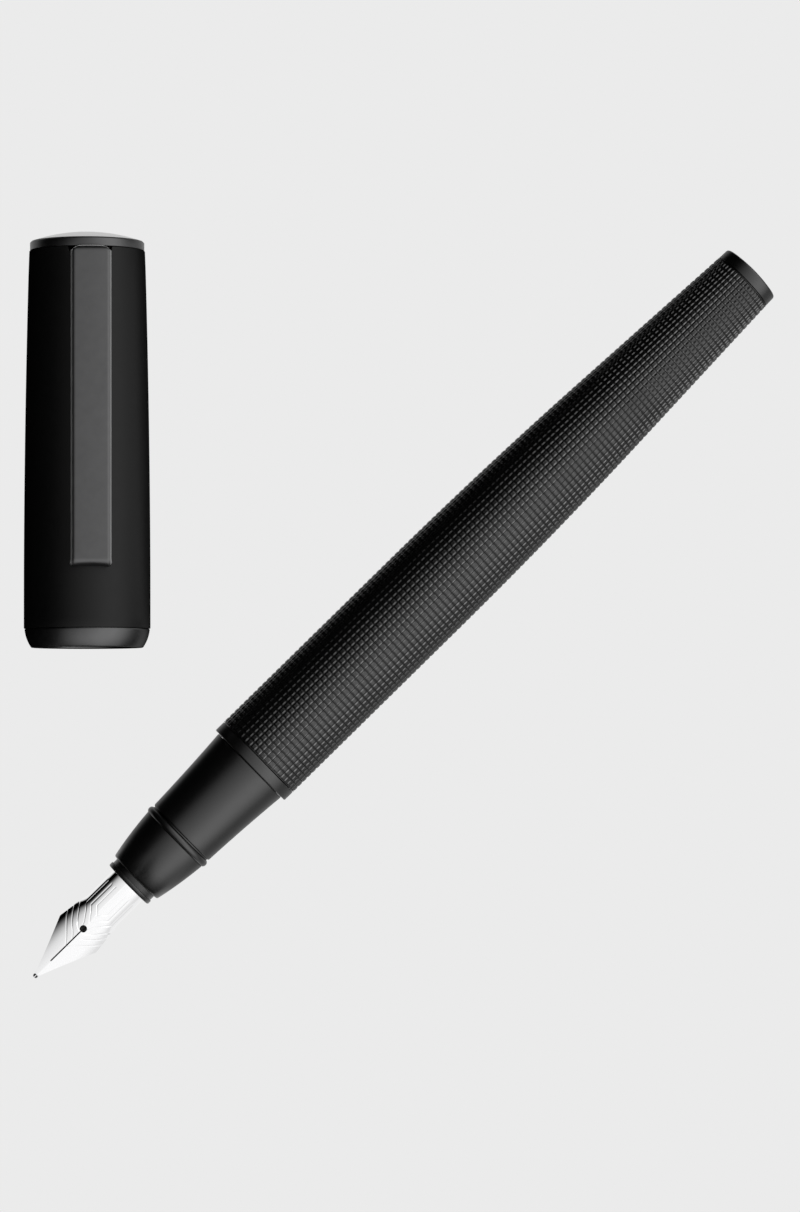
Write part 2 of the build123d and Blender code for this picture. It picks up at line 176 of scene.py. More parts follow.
def finish(
    name, colour, metallic, roughness, mottle=0.04, tint=0.12, bump=0.0, specular=0.5,
    stretch=(1, 1, 1), transmission=0.0, ior=1.5,
):
    """Adds a finish whose colour and roughness drift with noise, over a fine noise bump in mm."""
    material = bpy.data.materials.new(name)
    material.use_nodes = True
    tree = material.node_tree
    shader = tree.nodes["Principled BSDF"]
    shader.inputs["Metallic"].default_value = metallic
    shader.inputs["Specular IOR Level"].default_value = specular
    shader.inputs["Transmission Weight"].default_value = transmission
    shader.inputs["IOR"].default_value = ior

    where = add_node(tree, "ShaderNodeTexCoord").outputs["Object"]
    spot = add_node(tree, "ShaderNodeMapping", Vector=where, Scale=stretch).outputs["Vector"]
    drift = add_node(tree, "ShaderNodeTexNoise", Vector=spot, Scale=drift_scale, Detail=4).outputs["Fac"]

    shade = add_node(tree, "ShaderNodeMix")
    shade.data_type = "RGBA"
    dark = [c * (1 - tint) for c in colour]
    light = [min(1, c * (1 + tint)) for c in colour]
    shade.inputs[6].default_value = (*dark, 1)
    shade.inputs[7].default_value = (*light, 1)
    tree.links.new(drift, shade.inputs[0])
    tree.links.new(shade.outputs[2], shader.inputs["Base Color"])

    smooth = max(0, roughness - mottle)
    rough = min(1, roughness + mottle)
    spread = add_node(tree, "ShaderNodeMapRange", Value=drift, To_Min=smooth, To_Max=rough)
    tree.links.new(spread.outputs["Result"], shader.inputs["Roughness"])

    if bump:
        grain = add_node(tree, "ShaderNodeTexNoise", Vector=spot, Scale=grain_scale, Detail=3)
        relief = add_node(tree, "ShaderNodeBump", Height=grain.outputs["Fac"], Distance=bump * MM)
        tree.links.new(relief.outputs["Normal"], shader.inputs["Normal"])
    finishes[name] = material


black = (0.001, 0.001, 0.001)
finish("barrel_black", black, 0, 0.28, bump=0.002, specular=0.42)
finish("cell_edge", (0.075, 0.075, 0.075), 1, 0.25, bump=0.001)
finish("cell_groove", black, 0, 0.5, bump=0.002, specular=0.12)
finish("satin_black", black, 0, 0.31, bump=0.002)
finish("cap_black", black, 0, 0.48, bump=0.002, specular=0.16)
finish("gunmetal", (0.058, 0.058, 0.0585), 1, 0.36, bump=0.001)
finish("finial_metal", (0.72, 0.72, 0.72), 1, 0.32, bump=0.001)
finish("nib_steel", (0.88, 0.88, 0.885), 1, 0.08, mottle=0.03, tint=0.02, bump=0.0003, stretch=(0.2, 1, 1))
finish("tipping", (0.6, 0.6, 0.61), 1, 0.2, bump=0.0005)
finish("black_plastic", (0.002, 0.002, 0.002), 0, 0.34, bump=0.002)
finish("clear_plastic", (0.95, 0.97, 0.97), 0, 0.05, mottle=0.03, tint=0.01, transmission=1.0, ior=1.49)
finish("bright_steel", (0.75, 0.75, 0.76), 1, 0.16, bump=0.0005)
finish("spring_steel", (0.5, 0.5, 0.51), 1, 0.3, bump=0.001)
finish("brass", (0.72, 0.52, 0.24), 1, 0.28, tint=0.15, bump=0.001)
finish("rubber", (0.012, 0.012, 0.012), 0, 0.6, bump=0.003)

body_of = {node: body for body, nodes in frame["record"]["behaviour"]["bodies"].items() for node in nodes}
slot_of = {part["node"]: part["material_slot"] for part in frame["record"]["subparts"]}


# ---- mesh tools ----
def place(bm, name, node, crease=35, more_finishes=()):
    """Turns a bmesh into a smooth piece that stands for a CAD node and rides on its body.

    Faces take the node's own finish, or one of more_finishes by their material index, from 1 up.
    """
    bmesh.ops.recalc_face_normals(bm, faces=bm.faces)
    for face in bm.faces:
        face.smooth = True
    for edge in bm.edges:
        edge.smooth = edge.calc_face_angle(0) < math.radians(crease)
    mesh = bpy.data.meshes.new(name)
    bm.to_mesh(mesh)
    bm.free()
    for coating in (slot_of[node], *more_finishes):
        mesh.materials.append(finishes[coating])
    piece = bpy.data.objects.new(name, mesh)
    bpy.context.scene.collection.objects.link(piece)
    weighted = piece.modifiers.new("weighted normals", "WEIGHTED_NORMAL")
    weighted.keep_sharp = True
    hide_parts(node)
    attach(piece, body_of[node])


def skin(bm, rings, closed=True):
    """Faces between rings of vertices; a ring of one vertex is a pole on the axis."""
    pairs = list(zip(rings, rings[1:]))
    if closed:
        pairs.append((rings[-1], rings[0]))
    for a, b in pairs:
        count = max(len(a), len(b))
        if count == 1:
            continue
        for k in range(count):
            corners = [a[k % len(a)], a[(k + 1) % len(a)], b[(k + 1) % len(b)], b[k % len(b)]]
            unique = list(dict.fromkeys(corners))
            if len(unique) > 2:
                bm.faces.new(unique)


def turns(count):
    """Evenly spaced angles round a full turn."""
    return [TURN * k / count for k in range(count)]


def ring_of(bm, points):
    """New vertices at some points."""
    return [bm.verts.new(point) for point in points]


def spin(name, node, spindle, outline, segments=128, detail=None, crease=35):
    """A piece made by spinning a closed outline; detail moves each point of a ring."""
    bm = bmesh.new()
    rings = []
    for station, radius in outline:
        if radius < 1e-6:
            rings.append(ring_of(bm, [spindle.at(station, 0, 0)]))
            continue
        ring = []
        for angle in turns(segments):
            s, r = (station, radius) if detail is None else detail(station, angle, radius)
            ring.append(bm.verts.new(spindle.round(s, angle, r)))
        rings.append(ring)
    skin(bm, rings)
    place(bm, name, node, crease)


def thread(start, end, pitch, depth, at_radius):
    """A detail that adds a right-handed thread to the points at one radius."""

    def ridge(station, angle, radius):
        if abs(radius - at_radius) > 1e-6 or not start < station < end:
            return station, radius
        fade = ease((station - start) / pitch) * ease((end - station) / pitch)
        phase = station / pitch - angle / TURN
        return station, radius + depth * fade * (0.5 - 0.5 * math.cos(TURN * phase))

    return ridge


# ---- barrel ----
cells_round = 48
cell_length = 0.8
cell_depth = 0.08
groove_share = 0.06
bevel_share = 0.25
cell_marks = (groove_share, bevel_share, 1 - bevel_share, 1 - groove_share)
cell_finishes = ("cell_edge", "cell_groove")
bevel_lean = 0.2
plain_edge = 0.1

sleeve_start, sleeve_end, sleeve_inner, sleeve_outer = pen.reach("barrel_sleeve")
sleeve_wall = 0.8
straight_end = 68.0
taper_start = 100.0
taper_start_radius = 5.39
sleeve_tail_radius = sleeve_inner + sleeve_wall


def envelope(station):
    """The sleeve's outer radius: straight, then one long curve, then a straight taper."""
    if station <= straight_end:
        return sleeve_outer
    if station >= taper_start:
        share = (station - taper_start) / (sleeve_end - taper_start)
        return taper_start_radius + (sleeve_tail_radius - taper_start_radius) * share
    share = (station - straight_end) / (taper_start - straight_end)
    return sleeve_outer - (sleeve_outer - taper_start_radius) * share**2


texture_start = sleeve_start + plain_edge
texture_end = sleeve_end - plain_edge
cell_rows = round((texture_end - texture_start) / cell_length)
cell_pitch = (texture_end - texture_start) / cell_rows


def cell_height(share):
    """Height across a cell, below the envelope: a narrow groove, a bevel and a flat top."""
    edge = min(share, 1 - share)
    climb = (edge - groove_share) / (bevel_share - groove_share)
    return -cell_depth * (1 - min(1, max(0, climb)))


def waffle(station, angle, radius):
    """The radius with the square cells pressed into the outside of the sleeve."""
    if radius < envelope(station) - sleeve_wall / 2 or not texture_start < station < texture_end:
        return radius
    along = (station - texture_start) / cell_pitch % 1
    around = (angle / TURN * cells_round + groove_share) % 1
    return radius + min(cell_height(along), cell_height(around))


crown = [
    (texture_start + cell_pitch * (row + mark), envelope(texture_start + cell_pitch * (row + mark)))
    for row in range(cell_rows)
    for mark in cell_marks
]
sleeve_outline = [
    (sleeve_start, sleeve_outer - sleeve_wall), (sleeve_start, sleeve_outer - 0.05),
    (sleeve_start + 0.04, sleeve_outer), (texture_start, sleeve_outer),
    *crown,
    (texture_end, envelope(texture_end)), (sleeve_end - 0.04, sleeve_tail_radius),
    (sleeve_end, sleeve_tail_radius - 0.05),
    *run(sleeve_end, sleeve_start + 1, lambda s: envelope(s) - sleeve_wall, 1.5),
]


def spin_cells(name, node, outline):
    """Spins the textured sleeve, with points on the cells' edges and a ring for each mark.

    The grooves are dull, and the bevels that face round the pen and not along it are polished.
    """
    bm = bmesh.new()
    rings = []
    sunk = {}
    for station, radius in outline:
        ring = []
        for cell in range(cells_round):
            for mark in cell_marks:
                angle = TURN * (cell + mark - groove_share) / cells_round
                pressed = waffle(station, angle, radius)
                point = bm.verts.new(pen.round(station, angle, pressed))
                sunk[point] = radius - pressed > cell_depth / 2
                ring.append(point)
        rings.append(ring)
    skin(bm, rings)
    bm.normal_update()
    for face in bm.faces:
        low = [sunk[point] for point in face.verts]
        if all(low):
            face.material_index = 1 + cell_finishes.index("cell_groove")
        elif any(low) and abs(face.normal.dot(pen.along)) < bevel_lean:
            face.material_index = 1 + cell_finishes.index("cell_edge")
    place(bm, name, node, crease=20, more_finishes=cell_finishes)


spin_cells("barrel_skin", "barrel_sleeve", sleeve_outline)

cap_start, cap_end, _, cap_outer = pen.reach("barrel_end_cap")
tail_seam = sleeve_end + 0.06
tail_plug = 3.3
tail_face = cap_end - 0.4
end_cap_outline = [
    (cap_start, 0),
    *rounded(
        [
            (cap_start, 0), (cap_start, tail_plug, 0.25), (tail_seam, tail_plug),
            (tail_seam, cap_outer, 0.06), (tail_face, cap_outer - 0.05, 0.26), (tail_face, 0),
        ]
    )[1:-1],
    *dome(tail_face, cap_outer - 0.33, cap_end - tail_face),
]
spin("barrel_tail_cap", "barrel_end_cap", pen, end_cap_outline, segments=160)

liner_start, liner_end, liner_inner, _ = pen.reach("barrel_liner")
liner_outer = liner_inner + 0.8
liner_collar = sleeve_outer - sleeve_wall - 0.02
liner_collar_end = 66.0
liner_outline = rounded(
    [
        (liner_start, liner_inner, 0.15), (liner_start, liner_collar, 0.1),
        (liner_collar_end, liner_collar, 0.1), (liner_collar_end, liner_outer),
        (liner_end, liner_outer, 0.15), (liner_end, liner_inner, 0.1),
    ],
    2,
)
spin("barrel_brass_liner", "barrel_liner", pen, liner_outline)

bush_start, bush_end, _, bush_outer = pen.reach("barrel_thread_bush")
bush_bore = 4.78
bush_thread_depth = 0.24
thread_pitch = 0.75
thread_step = thread_pitch / 8
bush_outline = [
    (bush_start, bush_bore + 0.3),
    *run(bush_start + 0.3, bush_end - 0.2, lambda s: bush_bore, thread_step),
    (bush_end, bush_bore + 0.2), (bush_end, bush_outer - 0.02), (bush_start, bush_outer - 0.02),
]
spin(
    "barrel_bush", "barrel_thread_bush", pen, bush_outline, 96,
    thread(bush_start + 0.3, bush_end - 0.2, thread_pitch, bush_thread_depth, bush_bore), crease=50,
)

# ---- joint between barrel and section ----
band_start, band_end, band_bore, band_outer = pen.reach("front_band")
ring_start, ring_end, ring_inner, ring_outer = pen.reach("section_o_ring")
grip_start, grip_end, grip_bore, grip_rear = pen.reach("section_grip")
groove_floor = 5.58
groove_start = 38.0
groove_end = 38.86
seam_gap = 0.015
band_outline = rounded(
    [
        (grip_end + seam_gap, band_bore), (grip_end + seam_gap, grip_rear - 0.05),
        (band_start, grip_rear - 0.02), (band_start, band_outer, 0.14), (band_end, band_outer, 0.1),
        (band_end, sleeve_outer - 0.12), (sleeve_start - seam_gap, sleeve_outer - 0.16),
        (sleeve_start - seam_gap, band_bore), (groove_end, band_bore),
        (groove_end, groove_floor, 0.1), (groove_start, groove_floor, 0.1),
        (groove_start, band_bore),
    ]
)
spin("front_trim_band", "front_band", pen, band_outline, segments=192)

seal_wire = (ring_outer - ring_inner) / 2
seal_middle = (ring_start + ring_end) / 2
o_ring_outline = [
    (seal_middle + seal_wire * math.cos(t), ring_inner + seal_wire + seal_wire * math.sin(t))
    for t in turns(20)
]
spin("seal_ring", "section_o_ring", pen, o_ring_outline)

# ---- section ----
grip_front = 4.81
grip_waist = 5.12
grip_curve = arc(
    (grip_start + 0.22, grip_front + 0.02), ((grip_start + grip_end) / 2, grip_waist),
    (grip_end - 0.1, grip_rear - 0.01), 32,
)
grip_outline = [
    (grip_start - 0.13, grip_bore), (grip_start - 0.13, grip_front - 0.2),
    (grip_start, grip_front - 0.18), (grip_start + 0.03, grip_front - 0.07),
    (grip_start + 0.1, grip_front - 0.01),
    *grip_curve,
    (grip_end - 0.03, grip_rear - 0.03), (grip_end, grip_rear - 0.12), (grip_end, grip_bore),
]
spin("grip_shell", "section_grip", pen, grip_outline, segments=192)

bead_start, bead_end, bead_bore, bead_outer = pen.reach("section_snap_ring")
bead_outline = [
    *arc(
        (bead_start, bead_outer - 0.4), ((bead_start + bead_end) / 2, bead_outer),
        (bead_end, bead_outer - 0.4), 14,
    ),
    (bead_end, bead_bore), (bead_start, bead_bore),
]
spin("snap_bead", "section_snap_ring", pen, bead_outline, segments=192)

cone_start, cone_end, cone_bore, cone_outer = pen.reach("section_front_cone")
cone_front = 3.8
cone_middle = 4.37
cone_step = cone_start + 3.4
cone_outline = [
    (cone_start, cone_bore + 0.12), (cone_start, cone_front - 0.26),
    (cone_start + 0.03, cone_front - 0.14), (cone_start + 0.1, cone_front - 0.05),
    *arc((cone_start + 0.25, cone_front), (cone_step, cone_middle), (cone_end, cone_outer), 24),
    (cone_end, grip_bore), (cone_step, grip_bore - 0.5), (cone_step, cone_bore),
    (cone_start + 0.12, cone_bore),
]
spin("front_cone_shell", "section_front_cone", pen, cone_outline, segments=192)

core_start, core_end, core_bore, _ = pen.reach("section_core")
core_front = grip_bore - 0.52
core_middle = grip_bore - 0.02
core_rear = 4.68
thread_root = 4.42
thread_depth = 0.26
thread_start = 39.6
thread_end = 48.4
socket_start = 30.5
socket_radius = 3.7
core_outline = [
    (core_start, core_bore), (core_start, core_front), (cone_end, core_front),
    (cone_end, core_middle), (grip_end, core_middle), (grip_end, core_rear),
    (thread_start - 0.3, core_rear),
    *run(thread_start, thread_end, lambda s: thread_root, thread_step),
    (core_end - 0.2, thread_root), (core_end, thread_root - 0.2), (core_end, socket_radius + 0.15),
    (core_end - 0.15, socket_radius), (socket_start, socket_radius), (socket_start, core_bore),
]
spin(
    "section_core_body", "section_core", pen, core_outline, 96,
    thread(thread_start, thread_end, thread_pitch, thread_depth, thread_root), crease=50,
)

# ---- nib unit ----
collar_start, collar_end, _, flange_outer = pen.reach("nib_collar")
nib_base = 2.6
flange_end = 17.0
neck_end = 17.65
neck_radius = 3.27
stem_radius = 2.95
stem_end = 30.0
nipple_radius = 2.1
ink_bore = 0.8
nib_socket_end = 25.0
collar_outline = rounded(
    [
        (collar_start, nib_base, 0.08), (collar_start, flange_outer, 0.16),
        (flange_end, flange_outer, 0.1), (flange_end, neck_radius), (neck_end, neck_radius),
        (neck_end, stem_radius), (stem_end, stem_radius, 0.25), (stem_end, nipple_radius),
        (collar_end, nipple_radius, 0.35), (collar_end, ink_bore, 0.1), (nib_socket_end, ink_bore),
        (nib_socket_end, nib_base),
    ]
)
spin("nib_unit_collar", "nib_collar", pen, collar_outline)

nib_start, nib_end, _, _ = pen.reach("nib")
nib_sheet = 0.25
tine_half = 0.2
tine_hollow = 0.36
shoulder_station = 7.7
shoulder_width = 3.22
waist_station = 12.5
nib_curl_start = 12.0
curl_drop = 0.0258
curl_power = 1.638
curl_opening = 3.0
curl_softness = 6.0
steepest = math.sin(math.radians(89))
roof_angle = math.radians(7)
roof_fade = 3.4
breather_station = 8.7
breather_radius = 0.45
breather_pull = 1.4
breather_rows = 12
breather_clearance = 0.05
slit_half = 0.085
slit_tip_half = 0.05
slit_open_start = 2.4
slit_open_length = 0.8
slit_end_length = 0.3
slit_spread = 0.5
engraving_depth = 0.048
engraving_end = 15.1
engraved_points = (5.7, 6.75, 7.8, 9.1, 10.0, 11.05)
engraved_sides = (None, None, None, 2.18, 1.5, 0.88)
groove_profile = ((-0.11, 0), (-0.055, 0.55), (0, 1), (0.055, 0.55), (0.11, 0))
side_profile = ((-0.1, 0), (-0.05, 0.55), (0, 1), (0.05, 0.55), (0.1, 0))
line_overlap = 0.08
slant_end = 13
slant_fade = 5
column_passes = 12
row_pitch = 0.16
row_clearance = 0.13
rows_in_collar = (16.0, 17.0, 18.5, 20.5, 22.5)


def nib_half_width(station):
    """Half the nib's width seen from above: hollow tines, a shoulder, then the waist."""
    if station < shoulder_station:
        share = (station - nib_start) / (shoulder_station - nib_start)
        return tine_half + (shoulder_width - tine_half) * share - tine_hollow * share * (1 - share)
    share = min(1, (station - shoulder_station) / (waist_station - shoulder_station))
    return shoulder_width + (nib_base - shoulder_width) * share


def nib_ridge(station):
    """Height of the sheet's outside over the pen's axis, along its middle."""
    return nib_base - curl_drop * max(0, nib_curl_start - station) ** curl_power


def nib_bend(station):
    """Radius of the sheet's outside, which opens towards the point."""
    ahead = max(0, nib_curl_start - station)
    return nib_base + curl_opening * ahead**2 / (ahead**2 + curl_softness)


def nib_roof(station):
    """Angle at which the two sides fall away from the slit, like a low roof."""
    return roof_angle * (1 - ease((station - breather_station) / roof_fade))


def nib_edge_angle(station):
    """Angle of the sheet's edge from straight up."""
    return nib_angle(station, nib_half_width(station))


def nib_angle(station, across):
    """Angle of the sheet from straight up, so far from the pen's axis."""
    sine = across / nib_bend(station) + math.sin(nib_roof(station))
    return math.asin(min(steepest, sine))


def open_breather(station, across):
    """Draws the sheet's middle apart round the breather hole, and opens the slit before it."""
    point = complex(station - breather_station, across)
    root = cmath.sqrt(point * point - (2 * breather_radius) ** 2)
    if root.imag < 0 or (root.imag == 0 and root.real * point.real < 0):
        root = -root
    shift = (point + root) / 2 - point
    shift *= 1 - ease((abs(point) - breather_pull) / breather_pull)
    point += shift
    ahead = min(1, max(0, -point.real / slit_end_length))
    opened = ease((station - slit_open_start) / slit_open_length)
    opening = slit_tip_half + (slit_half - slit_tip_half) * opened
    opening *= ahead * max(0, 1 - point.imag / slit_spread)
    return breather_station + point.real, point.imag + opening


inner_columns = [0, 0.03, 0.07, 0.2, 0.36, 0.52, 0.68, 0.82]
for line in engraved_sides[3:]:
    inner_columns += [line + offset for offset, _ in side_profile]
inner_columns += [1.15, 1.3, 1.7, 1.85, 2.0, 2.36]
inner_columns.sort()
outer_columns = [k / 8 for k in range(1, 9)]


def row_places():
    """Where the V-shaped rows of the nib's mesh cross its middle."""
    engraved = [point + offset for point in engraved_points for offset, _ in groove_profile]
    reach = 2 * breather_radius
    count = math.ceil((engraving_end - nib_start) / row_pitch)
    plain = [nib_start + row_pitch * k for k in range(count)]
    plain = [c for c in plain if abs(c - breather_station) > reach + breather_clearance]
    angles = [math.pi * k / breather_rows for k in range(breather_rows + 1)]
    plain += [breather_station + reach * math.cos(angle) for angle in angles]
    plain = [c for c in plain if all(abs(c - point) > row_clearance for point in engraved_points)]
    rows = sorted(engraved + [c for c in plain if c < engraving_end])
    return [*rows, *rows_in_collar, nib_end]


def engraving(place_on_middle, across, station):
    """Depth of the engraved lines: V's that turn and run back along the pen."""
    depth = 0
    for point, side in zip(engraved_points, engraved_sides):
        if side is None or across <= side + line_overlap:
            for offset, share in groove_profile:
                if abs(place_on_middle - point - offset) < 1e-6:
                    depth = max(depth, share)
        if side and place_on_middle > point + side_profile[0][0] and station < engraving_end:
            for offset, share in side_profile:
                if abs(across - side - offset) < 1e-6:
                    depth = max(depth, share)
    return depth * engraving_depth


def nib_column(place_on_middle, column):
    """Station, angle and engraved depth where a column crosses a V-shaped row."""
    slant = 1 - ease((place_on_middle - slant_end) / slant_fade)
    station = place_on_middle
    for _ in range(column_passes):
        scale = min(1, nib_half_width(min(station, shoulder_station)) / shoulder_width)
        if column < len(inner_columns):
            across = inner_columns[column] * scale
            angle = nib_angle(station, across)
        else:
            share = outer_columns[column - len(inner_columns)]
            start = nib_angle(station, inner_columns[-1] * scale)
            angle = start + (nib_edge_angle(station) - start) * share
            across = nib_bend(station) * (math.sin(angle) - math.sin(nib_roof(station)))
        station = min(nib_end, place_on_middle + across * slant)
    home = inner_columns[column] if column < len(inner_columns) else math.inf
    depth = engraving(place_on_middle, home, station)
    if column < len(inner_columns):
        station, across = open_breather(station, across)
        angle = nib_angle(station, across)
    return station, angle, depth


def nib_point(station, angle, inset, side):
    """A point of the nib's sheet on one side of the slit, a depth in from its outside."""
    bend = nib_bend(station)
    roof = nib_roof(station)
    across = bend * (math.sin(angle) - math.sin(roof)) - inset * math.sin(angle)
    height = nib_ridge(station) - bend * (math.cos(roof) - math.cos(angle)) - inset * math.cos(angle)
    return pen.at(station, side * max(0, across), height)


def sheet_of_nib():
    """The nib: outside and inside grids with walls along every free edge."""
    bm = bmesh.new()
    inner_of = {}

    def corner(station, angle, depth, side):
        outer = bm.verts.new(nib_point(station, angle, depth, side))
        inner_of[outer] = bm.verts.new(nib_point(station, angle, nib_sheet, side))
        return outer

    columns = range(len(inner_columns) + len(outer_columns))
    left_rows = []
    right_rows = []
    for c in row_places():
        places = [nib_column(c, column) for column in columns]
        left = [corner(*p, 1) for p in places]
        right = [corner(*p, -1) for p in places[1:]]
        station, angle, _ = places[0]
        joined = angle - nib_roof(station) < 1e-7
        right.insert(0, left[0] if joined else corner(*places[0], -1))
        left_rows.append(left)
        right_rows.append(right)
    for rows in (left_rows, right_rows):
        for first, second in zip(rows, rows[1:]):
            for k in columns[:-1]:
                bm.faces.new([first[k], first[k + 1], second[k + 1], second[k]])
    outside = list(bm.faces)
    borders = [e for e in bm.edges if len(e.link_faces) == 1]
    for face in outside:
        bm.faces.new([inner_of[v] for v in reversed(face.verts)])
    for edge in borders:
        a, b = edge.verts
        bm.faces.new([a, b, inner_of[b], inner_of[a]])
    return bm


place(sheet_of_nib(), "nib_sheet", "nib", crease=60)

tip_low, tip_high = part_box("nib_tipping")
tip_radius = (tip_high.x - tip_low.x) / 2 / MM
tip_height = ((tip_low.z + tip_high.z) / 2 - pen.origin.z) / MM


def split_ball():
    """The tipping: a ball of hard metal that the slit parts into two halves."""
    bm = bmesh.new()
    steps = 10
    for sign in (1, -1):
        rings = []
        for k in range(steps + 1):
            across = slit_tip_half + (tip_radius - slit_tip_half) * math.sin(math.pi / 2 * k / steps)
            radius = math.sqrt(max(0, tip_radius**2 - across**2))
            points = [
                pen.at(tip_radius + radius * math.cos(t), sign * across, tip_height + radius * math.sin(t))
                for t in turns(28)
            ]
            rings.append(ring_of(bm, points[:1] if k == steps else points))
        skin(bm, rings, closed=False)
        bm.faces.new(rings[0])
    return bm


place(split_ball(), "nib_tipping_ball", "nib_tipping")

feed_start, feed_end, _, _ = pen.reach("nib_feed")
feed_radius = nib_base - nib_sheet - 0.02
feed_tip_radius = 0.6
feed_tip_height = 0.75
feed_full = 12.0
beak_start = 2.9
beak_height = 1.05
fin_first = 12.3
fin_pitch = 0.62
fin_gap = 0.28
fin_count = 5
fin_floor = -1.25
fin_side = 0.01
feed_segments = 72


def cut_circle(bm, station, radius, height, lowest=-math.inf):
    """A ring centred a height over the pen's axis, with no point below its lowest height."""
    round_it = [(radius * math.sin(t), height + radius * math.cos(t)) for t in turns(feed_segments)]
    return ring_of(bm, [pen.at(station, across, max(lowest, up)) for across, up in round_it])


def beak_ring(bm, share):
    """One cross-section of the thin beak before the feed, a share of the way along it."""
    station = beak_start + (feed_start - beak_start) * share
    height = beak_height + (feed_tip_height - beak_height) * share
    return cut_circle(bm, station, feed_tip_radius * math.sqrt(share), height)


def feed_ring(bm, station):
    """One cross-section of the feed, cut away below inside the gaps between its fins."""
    share = min(1, (station - feed_start) / (feed_full - feed_start))
    radius = feed_tip_radius + (feed_radius - feed_tip_radius) * share
    middles = [fin_first + fin_pitch * i for i in range(fin_count)]
    in_gap = any(abs(station - middle) < (fin_gap - fin_side) / 2 for middle in middles)
    lowest = fin_floor if in_gap else -feed_radius
    return cut_circle(bm, station, radius, feed_tip_height * (1 - share), lowest)


def lofted_feed():
    """The feed: a tapering nose under the tines, then a finned body inside the collar."""
    bm = bmesh.new()
    stations = [feed_start + (feed_full - feed_start) * k / 16 for k in range(17)]
    for i in range(fin_count):
        middle = fin_first + fin_pitch * i
        half = fin_gap / 2
        stations += [middle - half, middle - half + fin_side, middle + half - fin_side, middle + half]
    stations.append(feed_end)
    rings = [ring_of(bm, [pen.at(beak_start, 0, beak_height)])]
    rings += [beak_ring(bm, share) for share in (0.15, 0.5, 0.85)]
    rings += [feed_ring(bm, station) for station in stations]
    rings.append(ring_of(bm, [pen.at(feed_end, 0, 0)]))
    skin(bm, rings, closed=False)
    return bm


place(lofted_feed(), "ink_feed", "nib_feed", crease=30)

# ---- converter ----
tube_start, tube_end, _, tube_outer = pen.reach("converter_tube")
tube_mouth_bore = 2.15
tube_chamber_start = 36.5
tube_chamber = 3.05
tube_outline = rounded(
    [
        (tube_start, tube_mouth_bore, 0.2), (tube_start, tube_outer, 0.35),
        (tube_end, tube_outer, 0.05), (tube_end, tube_chamber),
        (tube_chamber_start, tube_chamber, 0.4), (tube_chamber_start, tube_mouth_bore, 0.1),
    ]
)
spin("ink_tube", "converter_tube", pen, tube_outline)

steel_start, steel_end, steel_inner, steel_outer = pen.reach("converter_sleeve")
roll_stations = (64.0, 66.0)
roll_width = 0.3
roll_depth = 0.08


def rolled(station):
    """The steel sleeve's outside, with two rolled grooves over the guide."""
    grooves = sum(math.exp(-(((station - middle) / roll_width) ** 2)) for middle in roll_stations)
    return steel_outer - roll_depth * grooves


steel_outline = [
    (steel_start, steel_inner), (steel_start, steel_outer - 0.06),
    (steel_start + 0.06, steel_outer),
    *run(steel_start + 0.6, steel_end - 0.3, rolled, 0.15),
    (steel_end - 0.05, steel_outer), (steel_end, steel_outer - 0.05), (steel_end, steel_inner),
]
spin("steel_sleeve", "converter_sleeve", pen, steel_outline)

guide_start, guide_end, guide_bore, guide_outer = pen.reach("converter_guide")
guide_outline = rounded(
    [
        (guide_start, guide_bore, 0.2), (guide_start, guide_outer - 0.02, 0.1),
        (guide_end, guide_outer - 0.02, 0.1), (guide_end, guide_bore, 0.3),
    ]
)
spin("rod_guide", "converter_guide", pen, guide_outline)

knob_start, knob_end, _, knob_outer = pen.reach("converter_knob")
knob_bore = 1.35
knob_bottom = 93.1
flutes = 24
flute_depth = 0.16
flute_start = knob_start + 1.2
flute_end = knob_end - 1.5
flute_fade = 0.8


def fluted(station, angle, radius):
    """Cuts the finger flutes into the knob's outside, short of its ends."""
    if radius < knob_outer - 0.01:
        return station, radius
    fade = ease((station - flute_start) / flute_fade) * ease((flute_end - station) / flute_fade)
    return station, radius - flute_depth * fade * (0.5 + 0.5 * math.cos(flutes * angle))


knob_outline = [
    (knob_start, knob_bore + 0.1), (knob_start, knob_outer - 0.15), (knob_start + 0.15, knob_outer),
    *run(knob_start + 1, knob_end - 1.2, lambda s: knob_outer, 0.4),
    (knob_end - 0.5, knob_outer), (knob_end - 0.2, knob_outer - 0.15), (knob_end, knob_outer - 0.5),
    (knob_end, 0), (knob_bottom, 0), (knob_bottom, knob_bore),
    (knob_start + 0.1, knob_bore),
]
spin("twist_knob", "converter_knob", pen, knob_outline, flutes * 8, fluted)

seal_start, seal_end, seal_bore, seal_outer = pen.reach("piston_seal")
seal_waist = seal_outer - 0.5
seal_outline = rounded(
    [
        (seal_start + 0.3, seal_bore), (seal_start, seal_waist - 0.5, 0.1),
        (seal_start, seal_outer, 0.15), (seal_start + 1.1, seal_outer - 0.05, 0.15),
        (seal_start + 1.3, seal_waist, 0.1), (seal_end - 1.3, seal_waist, 0.1),
        (seal_end - 1.1, seal_outer - 0.05, 0.15), (seal_end, seal_outer, 0.15),
        (seal_end, seal_bore),
    ]
)
spin("piston_head", "piston_seal", pen, seal_outline)

